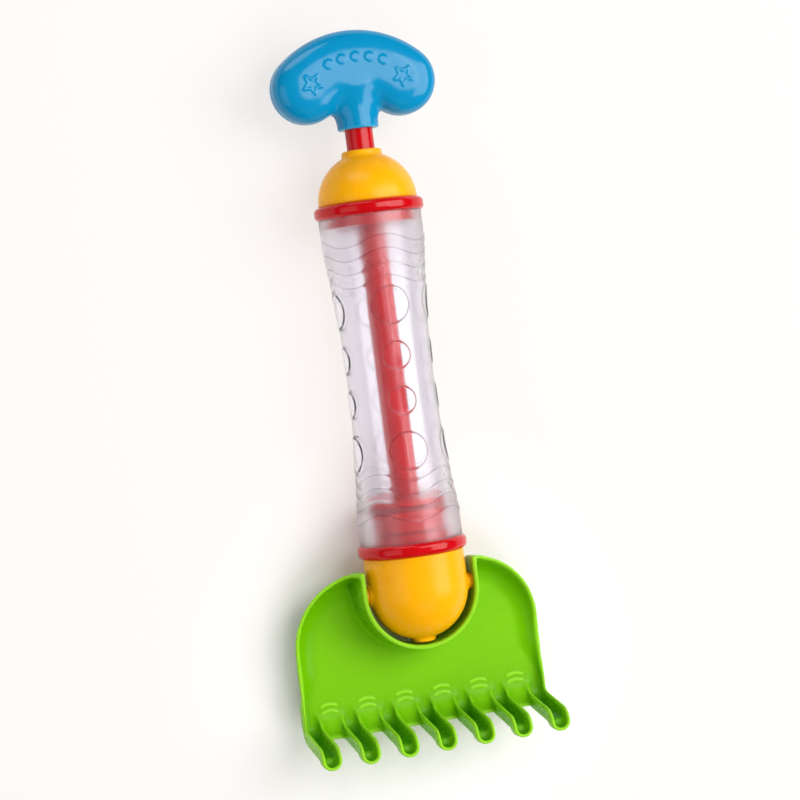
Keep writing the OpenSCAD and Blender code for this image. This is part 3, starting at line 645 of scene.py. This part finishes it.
# Strengths of the painted highlight on the step arcs and of the painted shade in creases and tine channels.
step_highlight, crease_shade, crease_bend = 0.7, 0.9, 0.5
channel_shade, channel_soft, channel_fade = 0.8, 0.5, 6.0
steep_gain, steep_from = 1.2, 0.2
rake_pitch = 0.68


def bend_points(centre, radius, from_angle, to_angle, count=24):
    """Points along an arc about a centre, from one angle to another."""
    angle = np.linspace(from_angle, to_angle, count)
    return np.array(centre) + radius*np.stack([np.cos(angle), np.sin(angle)], -1)


def tine_line(floor_level, lip_level, reach, floor_bend, lip_bend):
    """Side line of a tine: along a floor, round a bend, up a slope that passes the pivot's height at reach,
    round a second bend and out along a lip."""
    slope, half_turn = np.tan(tine_angle), np.tan(tine_angle/2)
    foot = reach + floor_level/slope - floor_bend*half_turn
    head = reach + lip_level/slope + lip_bend*half_turn
    quarter = np.pi/2
    return np.concatenate([
        bend_points((foot, floor_level + floor_bend), floor_bend, -quarter, tine_angle - quarter),
        bend_points((head, lip_level - lip_bend), lip_bend, quarter + tine_angle, quarter),
        [(tip_end + past_tip, lip_level)]])


def tine_plan(x, r):
    """Distance in plan from the middle line of the nearest tine, which ends a half width short of its tip."""
    sideways = x - tine_pitch*np.clip(np.round(x/tine_pitch), -tine_side, tine_side)
    return np.hypot(sideways, np.maximum(r - (tip_end - tine_half), 0))


def step_lines(x, r):
    """How strongly a place lies on one of the two arcs between the roots of two tines: a bell across an arc
    of a circle, cut off at the gap's sides and at the circle's middle."""
    in_gap = x - tine_pitch*(np.clip(np.round(x/tine_pitch - 0.5), -tine_side, tine_side - 1) + 0.5)
    shown = eased(gap_half - np.abs(in_gap))*eased(step_start + step_r - r)
    off_arc = [np.hypot(in_gap, r - (step_start + k*step_pitch + step_r)) - step_r for k in (0, 1)]
    return shown*sum(np.exp(-(off/step_half)**2) for off in off_arc)


def rake_body(x, r, w):
    """The rake as a distance, from x sideways, r below the pivot and w in front of it. Plans of the plate,
    the collar and the tines are crossed with side views of the rim, the tines, their channels and the web.
    The plate's outer wall leans out toward the rim, and a wide fillet dishes its floor."""
    qx, qr = np.abs(x) - (rake_half - shoulder_r), (shoulder_r - horn_h) - r
    plan = np.hypot(np.maximum(qx, 0), np.maximum(qr, 0)) + np.minimum(np.maximum(qx, qr), 0) - shoulder_r
    collar = np.where(r > 0, np.hypot(x, r), np.abs(x))
    slope_top = np.interp(r, [-horn_h, rim_slope_end], [shoulder_w, rim_w])
    from_collar = np.clip((np.abs(x) - collar_out)/gusset_w, 0, 1)
    rim_top = slope_top + (collar_front - shoulder_w)*(1 - from_collar)**2*(r < 0)
    lean_out = flare*(1 - eased((r - flare_from)/(flare_to - flare_from)))
    outer = (plan + lean_out*np.maximum(slope_top - w, 0))/np.hypot(1, lean_out)
    floor = np.maximum.reduce(np.broadcast_arrays(outer, w - floor_w, r - plate_end))
    rim = np.maximum.reduce(np.broadcast_arrays(outer, -outer - rim_wall, r - rim_end))
    dish = dish_r + (dish_end_r - dish_r)*eased((r - dish_from)/(dish_to - dish_from))
    tray = both(either(floor, rim, dish), outer, back_w - w, w - rim_top, r - rim_end, rounding=edge_round)
    collar_middle, collar_half = (collar_in + collar_out)/2, (collar_out - collar_in)/2
    tray = np.maximum(tray, collar_middle - collar)
    ring = both(np.abs(collar - collar_middle) - collar_half, w - collar_front, back_w - w, outer,
                rounding=edge_round)
    body = either(tray, ring, collar_fillet)
    limits = np.maximum.reduce(np.broadcast_arrays(collar_in - collar, back_w - w, w - collar_front, outer))
    body = np.maximum(body, limits)

    tip = tine_plan(x, r)
    channel_reach = tine_reach + channel_depth/np.sin(tine_angle)
    back_reach = channel_reach + moulding_t/np.sin(tine_angle)
    edge = tine_line(floor_w, tip_w, tine_reach, *edge_bends)
    channel = tine_line(floor_w, tip_w - channel_depth, channel_reach, *channel_bends)
    back = tine_line(back_w, tip_w - channel_depth - moulding_t, back_reach, *back_bends)
    start = web_start - web_lap
    side_outline = np.concatenate([[(start, floor_w)], edge, back[::-1], [(start, back_w)]])
    over = [(tip_end + past_tip, tip_w + over_tip), (start, tip_w + over_tip)]
    trough_outline = np.concatenate([[(start, floor_w)], channel, over])
    side = outline_distance(side_outline, r[0], w[0])
    trough = outline_distance(trough_outline, r[0], w[0])
    tines = both(tip - tine_half, side[None], rounding=edge_round)
    hollow = both(tip - (tine_half - tine_wall), trough[None], rounding=channel_round)

    web_r = (web_len**2 + web_rise**2)/(2*web_rise)
    web_turn = np.arcsin(web_len/web_r)
    web_centre = (web_start, floor_w + web_r)
    web_side = np.concatenate([bend_points(web_centre, web_r, -np.pi/2, web_turn - np.pi/2),
                               bend_points(web_centre, web_r + moulding_t, web_turn - np.pi/2, -np.pi/2)])
    web = np.maximum(outline_distance(web_side, r[0], w[0])[None], np.abs(x) - (rake_half - tine_half))
    body = np.minimum(np.minimum(body, web), tines)
    sockets = np.maximum(np.hypot(r, w) - socket_r, np.abs(x) - socket_end)
    body = softened(np.maximum(np.maximum(body, -hollow), -sockets))
    return body - step_h*step_lines(x, r)*eased(w - back_w)


# This corner, too, keeps the layers of the grid off the flat faces.
rake_corner = np.array([-66.683, -15.917, -19.313])
rake_counts = (198, 144, 65)
rake_axes = [low + np.arange(count)*rake_pitch for low, count in zip(rake_corner, rake_counts)]
rake_field = rake_body(rake_axes[0][:, None, None], rake_axes[1][None, :, None], rake_axes[2][None, None])
rake_points, rake_faces, rake_normals, rake_bend = skin(rake_field, rake_corner, rake_pitch)
rake_x, rake_r, rake_w = rake_points.T
# Painted highlight: thin convex edges and the two step arcs between the tine roots are lifted toward the
# bright green.
thin_edge_highlight = painted_edge_highlight(rake_bend, strength=0.75, full_bend=0.7, start=0.35)
rake_painted_highlight = np.clip(thin_edge_highlight + step_highlight*step_lines(rake_x, rake_r), 0, 1)
# Painted shade: concave creases and the steep floors of the tine channels, which face the handle, are
# darkened toward the shade green.
in_channel = eased(tine_half - tine_wall + channel_soft - tine_plan(rake_x, rake_r))
steep = eased(-steep_gain*rake_normals[:, 1] - steep_from)
in_channel = in_channel*steep*eased((rake_r - plate_end)/channel_fade)
rake_painted_shade = np.maximum(crease_shade*eased(-rake_bend/crease_bend), channel_shade*in_channel)
rake_points = np.stack([rake_x, pivot_y + middle_shift - rake_r, rake_w + axis_height], -1)*mm
green_plastic = moulded_plastic("green_plastic", green, deep_green, roughness=0.27, gloss=0.1,
                                edge=highlight_green, groove=shade_green)
rake = new_piece("rake_moulding", rake_points, rake_faces, green_plastic,
                 "rake_head", "rake", sharp=180,
                 values={"edge": rake_painted_highlight, "groove": rake_painted_shade})
rake.data.normals_split_custom_set_from_vertices((rake_normals*(1, -1, 1)).tolist())


# Studio: a pale floor under the part, a large soft box on its right, smaller ones overhead, past the handle
# and past the tines, a dim one on its left, and a dark sky. Places and sizes here are in metres.
floor_half, floor_drop = 4.0, 0.0003
floor_mesh = bpy.data.meshes.new("studio_floor")
floor_corners = [(x*floor_half, y*floor_half, -floor_drop) for x, y in ((-1, -1), (1, -1), (1, 1), (-1, 1))]
floor_mesh.from_pydata(floor_corners, [], [(0, 1, 2, 3)])
studio_floor = bpy.data.objects.new("studio_floor", floor_mesh)
bpy.context.scene.collection.objects.link(studio_floor)
rake_reach = 40.0
rake_middle = (0, (pivot_y + middle_shift - rake_reach)*mm, 0)


def pale_floor():
    """Pale card, lit by the lamps so that it keeps the shadow. Away from the rake it also has an even glow
    for what the camera, the clear barrel and the gloss see, as the photograph's background is washed out."""
    material, shader, links, add = node_tree("pale_floor")
    shader.inputs["Base Color"].default_value = (0.93, 0.905, 0.885, 1)
    shader.inputs["Roughness"].default_value = 0.9
    shader.inputs["Specular IOR Level"].default_value = 0.0
    glow = add("Emission", Color=(0.97, 0.935, 0.91, 1), Strength=1.0)["Emission"]
    path = add("LightPath")
    seen = add("Math", {"operation": "MAXIMUM"}, path["Is Camera Ray"], path["Is Transmission Ray"])["Value"]
    seen = add("Math", {"operation": "MAXIMUM"}, seen, path["Is Glossy Ray"])["Value"]
    away = add("VectorMath", {"operation": "DISTANCE"}, add("TexCoord")["Object"], rake_middle)["Value"]
    share = add("MapRange", Value=away, From_Min=0.05, From_Max=0.13, To_Max=0.75)["Result"]
    glowing = add("Math", {"operation": "MULTIPLY"}, seen, share)["Value"]
    mixed = add("MixShader", None, glowing, shader.outputs[0], glow)["Shader"]
    links.new(mixed, material.node_tree.nodes["Material Output"].inputs["Surface"])
    return material


floor_mesh.materials.append(pale_floor())


def soft_box(name, place, target, width, length, power, glint=True):
    """A rectangular lamp at a place, facing a target, with its length along the part. It may leave no
    glint on glossy pieces."""
    lamp = bpy.data.lights.new(name, "AREA")
    lamp.shape, lamp.size, lamp.size_y, lamp.energy = "RECTANGLE", width, length, power
    box = bpy.data.objects.new(name, lamp)
    box.visible_glossy = glint
    bpy.context.scene.collection.objects.link(box)
    away = np.array(place, float) - target
    away /= np.linalg.norm(away)
    right = np.cross((0, 1, 0), away)
    right /= np.linalg.norm(right)
    up = np.cross(away, right)
    box.matrix_world = Matrix(np.vstack([np.column_stack([right, up, away, place]), (0, 0, 0, 1)]).tolist())


part_middle, upper_part, lower_part = (0, 0.03, 0.03), (0, 0.10, 0.03), (0, -0.05, 0.03)
soft_box("key_soft_box", (0.95, 0.15, 1.00), part_middle, width=0.9, length=1.2, power=15)
soft_box("overhead_soft_box", (0.34, 0.32, 1.25), upper_part, width=0.6, length=0.6, power=5)
soft_box("far_soft_box", (-0.40, 1.15, 0.50), upper_part, width=0.9, length=0.4, power=4)
soft_box("front_soft_box", (0.10, -0.95, 1.10), lower_part, width=1.0, length=0.8, power=8, glint=False)
soft_box("left_soft_box", (-1.2, -0.1, 0.8), part_middle, width=1.0, length=1.2, power=4)
sky_low, sky_high, sky_rise = 0.05, 0.12, 0.8
world = bpy.data.worlds.new("studio_sky")
bpy.context.scene.world = world
world.use_nodes = True
sky_nodes, sky_links = world.node_tree.nodes, world.node_tree.links
sky_place = sky_nodes.new("ShaderNodeTexCoord")
sky_height = sky_nodes.new("ShaderNodeSeparateXYZ")
sky_shade = sky_nodes.new("ShaderNodeMapRange")
for label, value in (("From Min", 0), ("From Max", sky_rise), ("To Min", sky_low), ("To Max", sky_high)):
    sky_shade.inputs[label].default_value = value
sky_links.new(sky_place.outputs["Generated"], sky_height.inputs[0])
sky_links.new(sky_height.outputs["Z"], sky_shade.inputs["Value"])
sky_links.new(sky_shade.outputs["Result"], sky_nodes["Background"].inputs["Strength"])
sky_nodes["Background"].inputs["Color"].default_value = (1, 1, 1, 1)


# Camera: above the part and a little to its left, at the photograph's distance, turned so that the part
# leans as it does there.
lean = np.radians(15)
stand_off, focal_pixels = 1.195, 2390
image_size, sensor = 800, 36.0
watched_y, aim_right, aim_down = 20.0, 0.0028, 0.02636
roll = np.radians(7.344)
right_of_axis = np.array([np.cos(lean), 0, np.sin(lean)])
toward_rake = np.array([0, -1.0, 0])
to_camera = np.array([-np.sin(lean), 0, np.cos(lean)])
camera_place = to_camera*stand_off + (0, (watched_y + middle_shift)*mm, axis_height*mm)
look = -to_camera + aim_right*right_of_axis + aim_down*toward_rake
image_up = np.sin(roll)*right_of_axis - np.cos(roll)*toward_rake
back_axis = -look/np.linalg.norm(look)
right_axis = np.cross(image_up, back_axis)
right_axis /= np.linalg.norm(right_axis)
up_axis = np.cross(back_axis, right_axis)
lens = bpy.data.cameras.new("photograph_camera")
lens.sensor_width, lens.lens = sensor, focal_pixels*sensor/image_size
camera = bpy.data.objects.new("photograph_camera", lens)
bpy.context.scene.collection.objects.link(camera)
camera.matrix_world = Matrix(np.vstack([np.column_stack([right_axis, up_axis, back_axis, camera_place]),
                                        (0, 0, 0, 1)]).tolist())
bpy.context.scene.camera = camera
bpy.context.scene.view_settings.view_transform = "Standard"
